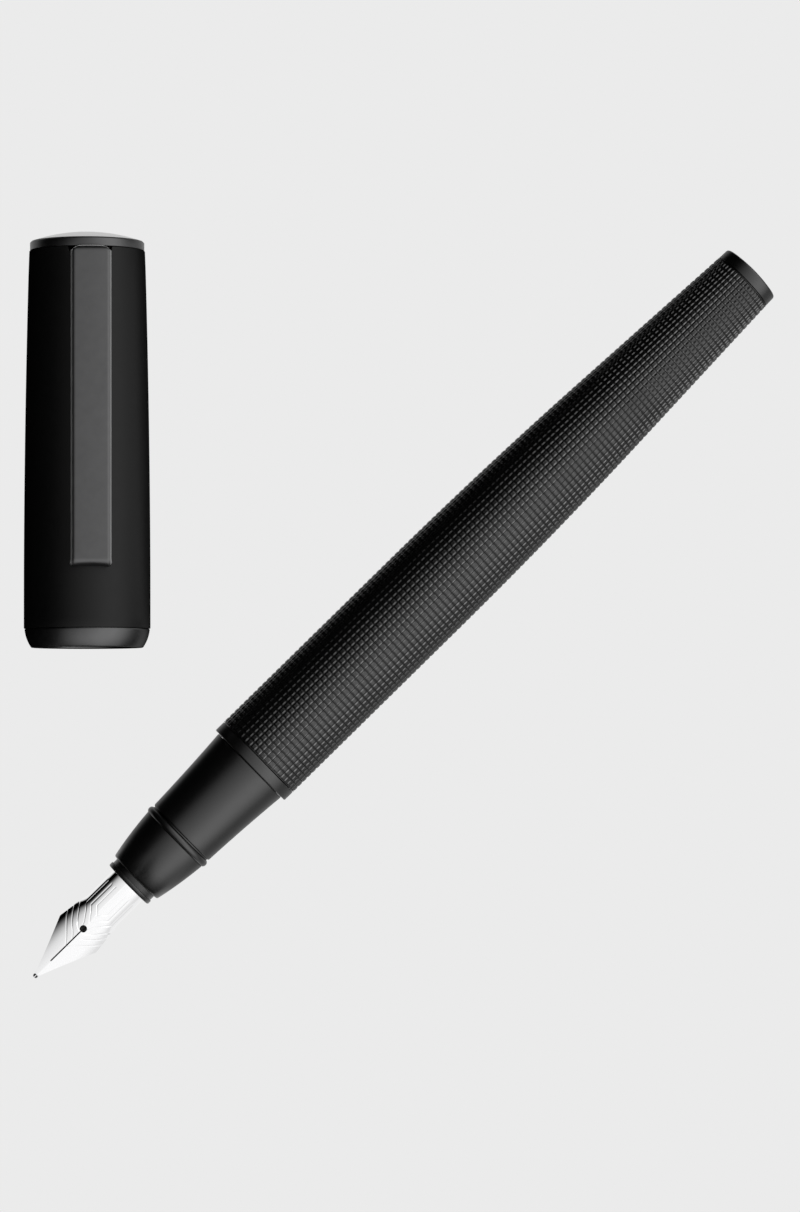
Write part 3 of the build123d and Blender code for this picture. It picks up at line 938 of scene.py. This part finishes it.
rod_start, rod_end, _, rod_outer = pen.reach("piston_rod")
rod_pitch = 2.6
rod_root = rod_outer - 0.32
rod_neck = 0.88
rod_outline = [
    (rod_start, 0), (rod_start, 0.7), (rod_start + 0.2, rod_neck),
    (seal_end, rod_neck), (seal_end, rod_root),
    *run(seal_end + 0.3, rod_end - 0.5, lambda s: rod_root, rod_pitch / 14),
    (rod_end - 0.3, rod_root), (rod_end, rod_root - 0.2), (rod_end, 0),
]
spin(
    "screw_rod", "piston_rod", pen, rod_outline, 48,
    thread(seal_end + 0.3, rod_end - 0.5, rod_pitch, rod_outer - rod_root, rod_root), crease=50,
)

# ---- cap ----
lip_start, lip_end, mouth_bore, lip_outer = cap.reach("cap_lip_ring")
lip_seam = 2.3
lip_mouth_radius = 7.0
lip_middle = (1.0, 7.47)
spigot_radius = 7.13
lip_outline = [
    (lip_start + 0.25, mouth_bore), (lip_start + 0.1, mouth_bore + 0.05),
    (lip_start + 0.02, mouth_bore + 0.18), (lip_start, mouth_bore + 0.3),
    (lip_start, lip_mouth_radius - 0.14), (lip_start + 0.03, lip_mouth_radius - 0.06),
    *arc((lip_start + 0.1, lip_mouth_radius), lip_middle, (lip_seam - 0.08, lip_outer - 0.03), 16),
    (lip_seam - 0.02, lip_outer - 0.06), (lip_seam, lip_outer - 0.13), (lip_seam, spigot_radius),
    (lip_end, spigot_radius), (lip_end, mouth_bore),
]
spin("lip_ring", "cap_lip_ring", cap, lip_outline, segments=224)

shell_start, shell_end, _, tube_radius = cap.reach("cap_tube")
skin_depth = 0.09
shell_outer = tube_radius - skin_depth
shell_bore = 6.9
shell_bore_start = 6.0
shell_floor = 47.6
shell_roof = 48.66
shell_hole = 1.52
shell_rim = 6.5
shell_straight = 9.0
shell_middle = (29.0, 7.67)
shell_neck = (46.0, 7.31)
shell_round = (47.6, 7.26)
clip_notch = 2.6


def notched(station, angle, radius):
    """Sinks the end of the tube where the clip's foot passes under the top ring."""
    if station > shell_roof and abs(math.sin(angle)) * radius < clip_notch and math.cos(angle) > 0:
        return shell_roof, radius
    return station, radius


shell_outline = [
    (shell_start, spigot_radius + 0.04), (shell_start, shell_outer - 0.1),
    (shell_start + 0.03, shell_outer - 0.03), (shell_start + 0.1, shell_outer),
    *run(3.5, shell_straight - 0.5, lambda s: shell_outer, 2.0),
    *arc((shell_straight, shell_outer), shell_middle, shell_neck, 24),
    *arc(shell_neck, shell_round, (shell_end - 0.04, 7.19), 12)[1:],
    (shell_end, 7.1), (shell_end, shell_rim), (shell_roof, shell_rim),
    (shell_roof, shell_hole), (shell_floor, shell_hole), (shell_floor, shell_bore),
    (shell_bore_start, shell_bore), (shell_bore_start, spigot_radius + 0.04),
]
spin("cap_shell", "cap_tube", cap, shell_outline, 256, notched)

top_start, top_end, top_bore, top_outer = cap.reach("cap_top_ring")
top_outline = rounded(
    [
        (top_start, top_bore), (top_start, top_outer - skin_depth, 0.06),
        (top_end, top_outer - skin_depth, 0.16), (top_end, top_bore),
    ]
)
spin("top_ring", "cap_top_ring", cap, top_outline, segments=224)

shank_end, dome_top, _, dome_base = cap.reach("cap_finial")
shank_radius = 1.48
finial_outline = [
    (shank_end, 0), (shank_end, shank_radius - 0.2), (shank_end + 0.2, shank_radius),
    (top_end + 0.02, shank_radius), (top_end + 0.02, dome_base - 0.08),
    *dome(top_end + 0.06, dome_base, dome_top - top_end - 0.06, 24),
]
spin("finial_dome", "cap_finial", cap, finial_outline, segments=224)

nut_start, nut_end, nut_bore, nut_outer = cap.reach("cap_nut")
half_side = math.radians(30)
nut_flat = nut_outer * math.cos(half_side)
nut_bevel = 0.12


def hexagon(station, angle, radius):
    """Gives the nut six flats with rounded-off corners."""
    if radius < nut_outer - 0.01:
        return station, radius
    turned = (angle + half_side) % (2 * half_side) - half_side
    bevel = nut_bevel if station in (nut_start, nut_end) else 0
    return station, min(nut_flat / math.cos(turned), nut_outer - bevel)


nut_outline = [
    (nut_start, nut_bore + 0.15), (nut_start, nut_outer), (nut_start + 0.3, nut_outer),
    (nut_end - 0.3, nut_outer), (nut_end, nut_outer), (nut_end, nut_bore),
    (nut_start + 0.15, nut_bore),
]
spin("hex_nut", "cap_nut", cap, nut_outline, 96, hexagon, crease=25)

inner_start, inner_end, _, inner_outer = cap.reach("inner_cap")
snap_start = 11.9
snap_end = 13.3
snap_groove = 6.2
grip_chamber = 5.2
grip_chamber_end = 20.2
nib_chamber = 3.9
nib_chamber_end = 44.0
nut_pocket = 45.0
inner_outline = [
    (nib_chamber_end, 0),
    *rounded(
        [
            (nib_chamber_end, 0), (nib_chamber_end, nib_chamber, 0.5),
            (grip_chamber_end, nib_chamber, 0.15), (grip_chamber_end, grip_chamber, 0.2),
            (snap_end, grip_chamber, 0.1), (snap_end, snap_groove), (snap_start, snap_groove),
            (snap_start, mouth_bore, 0.1), (inner_start, mouth_bore),
            (inner_start, inner_outer, 0.1), (inner_end, inner_outer, 0.2), (inner_end, nut_outer),
            (nut_pocket, nut_outer), (nut_pocket, 0),
        ]
    )[1:-1],
    (nut_pocket, 0),
]
spin("inner_cap_liner", "inner_cap", cap, inner_outline)

spring_start, spring_end, _, spring_outer = cap.reach("cap_snap_spring")
spring_wire = (spring_end - spring_start) / 2
spring_arc = math.radians(330)


def snap_ring():
    """The split spring ring, with rounded ends at its gap."""
    bm = bmesh.new()
    middle = (spring_start + spring_end) / 2
    centre = spring_outer - spring_wire
    steps = 110
    end_steps = 4
    rings = []
    for k in range(-end_steps, steps + end_steps + 1):
        beyond = max(0, -k, k - steps) / end_steps
        reach = math.sin(beyond * math.pi / 2) * spring_wire / centre * (1 if k > 0 else -1)
        turn = spring_arc * min(steps, max(0, k)) / steps + reach
        turn = spring_wire / centre + turn * (1 - 2 * spring_wire / centre / spring_arc)
        wire = 0 if beyond == 1 else spring_wire * math.cos(beyond * math.pi / 2)
        points = [
            cap.round(middle + wire * math.cos(t), turn, centre + wire * math.sin(t)) for t in turns(16)
        ]
        rings.append(ring_of(bm, points if wire else points[:1]))
    skin(bm, rings, closed=False)
    return bm


place(snap_ring(), "snap_spring", "cap_snap_spring")

# ---- clip ----
clip_half = 2.5
clip_top = 9.4
clip_sheet = 0.6
clip_back = 49.32
clip_foot = 6.35
clip_toe = 9.6
root_bend = 0.8
toe_bend = 1.2
toe_end = 8.02
corner_round = 0.8
toe_hollow = 0.25
toe_flare = 0.1


def quarter_bend(centre, radius, start, steps):
    """A quarter turn of the clip's outside under its top, as (station, height, direction it faces)."""
    bend = []
    for k in range(steps + 1):
        turn = math.pi / 2 * (start + k / steps)
        bend.append((centre + radius * math.cos(turn), clip_top - radius + radius * math.sin(turn), turn))
    return bend


def clip_path():
    """The clip's outside from foot to toe, as (station, height, direction it faces)."""
    first = clip_back - root_bend
    last = clip_toe + toe_bend
    steps = 40
    return [
        (clip_back, clip_foot, 0), (clip_back, clip_top - root_bend - 0.3, 0),
        *quarter_bend(first, root_bend, 0, 12),
        *[(first + (last - first) * k / steps, clip_top, math.pi / 2) for k in range(1, steps)],
        *quarter_bend(last, toe_bend, 1, 16),
        (clip_toe, toe_end, math.pi),
    ]


def clip_section(half):
    """Half a cross-section as (across, depth): a flat face, a bevel, a thin side, a flat back."""
    return [
        (0, 0), (half * 0.25, 0.004), (half * 0.5, 0.017),
        (half * 0.75, 0.04), (half - 0.44, 0.05), (half - 0.38, 0.07),
        (half - 0.19, 0.18), (half - 0.17, 0.21), (half, 0.52),
        (half - 0.08, clip_sheet), (half * 0.5, clip_sheet), (0, clip_sheet),
    ]


def bent_clip():
    """The clip: one sheet with bevelled long sides, a bent foot and a dipped toe."""
    bm = bmesh.new()
    rings = []
    for station, height, facing in clip_path():
        into_root = min(corner_round, max(0, station - clip_back + corner_round))
        half = clip_half - corner_round + math.sqrt(corner_round**2 - into_root**2)
        into_toe = max(0, clip_toe + toe_bend - station) / toe_bend
        half += toe_flare * into_toe**2
        section = clip_section(half)
        mirrored = [(-a, d) for a, d in reversed(section[1:-1])]
        points = []
        for across, depth in section + mirrored:
            hollow = toe_hollow * into_toe * (1 - (across / half) ** 2)
            sunk = station - depth * math.cos(facing) + hollow
            points.append(cap.at(sunk, across, height - depth * math.sin(facing)))
        rings.append(ring_of(bm, points))
    skin(bm, rings, closed=False)
    bm.faces.new(rings[0])
    bm.faces.new(rings[-1])
    return bm


place(bent_clip(), "pocket_clip", "clip", crease=24)

# ---- stage ----
backdrop_grey = (0.8308, 0.8308, 0.8308, 1)
floor_size = 6.0
floor_level = -0.00002
# In reflections only, the floor glows. It has painted light, brighter towards the nib's end, and a painted shadow
# where the glow fades out on the pen's shaded side.
floor_glow = 0.5
painted_glow_at_nib = 0.95
nib_zone_x = (-0.047, -0.043)
painted_shadow_start = 0.009
painted_shadow_end = 0.018


def stage_sheet(name, spans, height=0):
    """A flat stage sheet over two spans, and the node tree of its empty material."""
    (left, right), (bottom, top) = spans
    corners = [(left, bottom), (right, bottom), (right, top), (left, top)]
    mesh = bpy.data.meshes.new(name)
    mesh.from_pydata([(*corner, height) for corner in corners], [], [(0, 1, 2, 3)])
    sheet = bpy.data.objects.new(name, mesh)
    bpy.context.scene.collection.objects.link(sheet)
    material = bpy.data.materials.new(name)
    material.use_nodes = True
    material.node_tree.nodes.clear()
    mesh.materials.append(material)
    return sheet, material.node_tree


def ramp(tree, value, before, after, low, high):
    """A smooth step of a value, from one level to another."""
    step = add_node(
        tree, "ShaderNodeMapRange", Value=value, From_Min=before, From_Max=after, To_Min=low, To_Max=high
    )
    step.interpolation_type = "SMOOTHSTEP"
    return step.outputs["Result"]


def maths(tree, operation, first, second):
    """Two values put through one operation; the second may be a plain number."""
    step = add_node(tree, "ShaderNodeMath")
    step.operation = operation
    tree.links.new(first, step.inputs[0])
    if isinstance(second, bpy.types.NodeSocket):
        tree.links.new(second, step.inputs[1])
    else:
        step.inputs[1].default_value = second
    return step.outputs[0]


def towards(tree, where, direction):
    """Cosine of the angle between a view direction and a fixed one."""
    facing = add_node(tree, "ShaderNodeVectorMath")
    facing.operation = "DOT_PRODUCT"
    tree.links.new(where, facing.inputs[0])
    facing.inputs[1].default_value = direction
    return facing.outputs["Value"]


def two_faced(tree, output, light, seen):
    """Lights the pieces with one shader and shows another one to the camera."""
    choose = add_node(tree, "ShaderNodeMixShader")
    rays = add_node(tree, "ShaderNodeLightPath")
    tree.links.new(rays.outputs["Is Camera Ray"], choose.inputs[0])
    tree.links.new(light.outputs[0], choose.inputs[1])
    tree.links.new(seen.outputs[0], choose.inputs[2])
    add_node(tree, output, Surface=choose.outputs[0])


def floor():
    """A plain pale floor: flat to the camera; in reflections it glows, with a painted shadow that darkens it on
    the pen's shaded side and a painted brighter glow round the nib.
    """
    half = floor_size / 2
    _, tree = stage_sheet("floor", ((-half, half), (-half, half)), floor_level)
    where = add_node(tree, "ShaderNodeTexCoord").outputs["Object"]
    split = add_node(tree, "ShaderNodeSeparateXYZ", Vector=where)
    y = pen.origin.y
    # painted shadow: the glow fades out across y on the pen's shaded side
    shade = ramp(tree, split.outputs["Y"], y + painted_shadow_start, y + painted_shadow_end, 1, 0)
    # painted light: the glow is brighter towards the nib's end
    glow = ramp(tree, split.outputs["X"], *nib_zone_x, painted_glow_at_nib, floor_glow)
    lit = add_node(tree, "ShaderNodeEmission", Strength=maths(tree, "MULTIPLY", shade, glow))
    seen = add_node(tree, "ShaderNodeEmission", Color=backdrop_grey)
    two_faced(tree, "ShaderNodeOutputMaterial", lit, seen)


def card(name, centre, along, facing, spans, level, receivers, see_through):
    """A light sheet that only some pieces mirror, as strong as level, or as level makes it across y."""
    sheet, tree = stage_sheet(name, spans)
    turn = Matrix((along, facing.cross(along), facing)).transposed()
    sheet.matrix_world = Matrix.Translation(centre) @ turn.to_4x4()
    sheet.visible_camera = False
    sheet.visible_diffuse = False
    sheet.visible_transmission = False
    sheet.visible_shadow = False
    if callable(level):
        where = add_node(tree, "ShaderNodeTexCoord").outputs["Object"]
        split = add_node(tree, "ShaderNodeSeparateXYZ", Vector=where)
        level = level(tree, split.outputs["Y"])
    lit = add_node(tree, "ShaderNodeEmission", Strength=level)
    if see_through:
        both = add_node(tree, "ShaderNodeAddShader")
        tree.links.new(lit.outputs[0], both.inputs[0])
        tree.links.new(add_node(tree, "ShaderNodeBsdfTransparent").outputs[0], both.inputs[1])
        lit = both
    add_node(tree, "ShaderNodeOutputMaterial", Surface=lit.outputs[0])
    linked = bpy.data.collections.new(name + "_receivers")
    for piece in receivers:
        linked.objects.link(bpy.data.objects[piece])
    sheet.light_linking.receiver_collection = linked


nib_card_distance = 0.01
nib_card_reach = (-0.03, 0.0082)
nib_card_aim = pen.at(8, 0, 2)
# A ramp across a card, in metres: it starts and ends at the first two, from one level to the other.
left_step = (-0.005, 0.005, 0.98, 0.76)
left_fade = (0.001, 0.0165, 1, 0)
right_step = (-0.012, -0.002, 0.82, 1.08)


def nib_cards():
    """A bright card over the nib's right half and a fading grey one over its left half."""

    def fading(tree, y):
        fade = ramp(tree, y, *left_fade)
        level = ramp(tree, y, *left_step)
        return maths(tree, "MULTIPLY", level, maths(tree, "MULTIPLY", fade, fade))

    def bright(tree, y):
        return ramp(tree, y, *right_step)

    for name, tilt, span, level in (
        ("nib_card_left", 38, (-0.0047, 0.017), fading),
        ("nib_card_right", -50, (-0.0175, 0.016), bright),
    ):
        angle = math.radians(tilt)
        facing = Vector((0, math.sin(angle), math.cos(angle)))
        spot = nib_card_aim + facing * nib_card_distance
        card(name, spot, pen.along, facing, (nib_card_reach, span), level, ["nib_sheet"], False)


side_card_centre = cap.at(25, 32, 0)
side_card_spans = ((-0.03, 0.03), (-0.012, 0.006))
side_step = (-0.012, 0, 0, 0.9)
low_card_spans = ((-0.032, 0.045), (-0.032, 0.032))


def cap_cards():
    """A card to the right of the cap, and two on the floor round it for its bright trim."""

    def side(tree, y):
        return ramp(tree, y, *side_step)

    right = ["cap_shell", "lip_ring", "top_ring", "pocket_clip"]
    card("cap_card_side", side_card_centre, cap.along, -cap.side, side_card_spans, side, right, True)
    for name, lift, level, pieces in (
        ("cap_card_low", 0.0002, 0.72, ["finial_dome", "top_ring"]),
        ("clip_card_low", 0.0005, 2.4, ["pocket_clip"]),
    ):
        under = cap.at(30, 0, 0)
        under.z = lift
        card(name, under, cap.along, pen.up, low_card_spans, level, pieces, True)


def bearing(azimuth, elevation):
    """The direction at an azimuth and an elevation in degrees."""
    turn = math.radians(azimuth)
    rise = math.radians(elevation)
    return Vector((math.cos(turn) * math.cos(rise), math.sin(turn) * math.cos(rise), math.sin(rise)))


key_direction = bearing(-75, 41.3)
key_level = 2.7
key_at_horizon = 0.55
key_full_height = 0.5
key_low_gain = 1.35
key_gain_height = 0.7
fill_direction = bearing(0, 30)
fill_level = 1.2
fill_edges = (0.82, 0.96)


def sky():
    """Soft light from one side and above, black on the other, and a fill from the tail's end."""
    world = bpy.data.worlds.new("studio")
    bpy.context.scene.world = world
    world.use_nodes = True
    tree = world.node_tree
    tree.nodes.clear()
    where = add_node(tree, "ShaderNodeTexCoord").outputs["Generated"]
    height = add_node(tree, "ShaderNodeSeparateXYZ", Vector=where).outputs["Z"]
    facing = maths(tree, "MAXIMUM", towards(tree, where, key_direction), 0)
    level = ramp(tree, height, 0, key_full_height, key_level * key_at_horizon, key_level)
    gain = ramp(tree, height, key_gain_height, 1, key_low_gain, 1)
    key = maths(tree, "MULTIPLY", maths(tree, "MULTIPLY", facing, level), gain)
    fill = ramp(tree, towards(tree, where, fill_direction), *fill_edges, 0, fill_level)
    light = add_node(tree, "ShaderNodeBackground", Strength=maths(tree, "ADD", key, fill))
    seen = add_node(tree, "ShaderNodeBackground", Color=backdrop_grey)
    two_faced(tree, "ShaderNodeOutputWorld", light, seen)


def camera():
    """A long lens straight above, with the cap's axis upright in the picture."""
    lens = bpy.data.cameras.new("camera")
    lens.lens = 146.8
    lens.sensor_width = 36
    lens.clip_start = 0.05
    lens.clip_end = 20
    eye = pen.at(37.7, 0.15, 616.85)
    target = pen.at(64.885, -1.067, 0)
    roll = -0.002
    forward = (target - eye).normalized()
    right = forward.cross(cap.along).normalized()
    upright = right.cross(forward)
    holder = bpy.data.objects.new("camera", lens)
    turn = Matrix((right, upright, -forward)).transposed() @ Matrix.Rotation(roll, 3, "Z")
    holder.matrix_world = Matrix.Translation(eye) @ turn.to_4x4()
    bpy.context.scene.collection.objects.link(holder)
    bpy.context.scene.camera = holder


floor()
nib_cards()
cap_cards()
sky()
camera()
bpy.context.scene.view_settings.view_transform = "Standard"
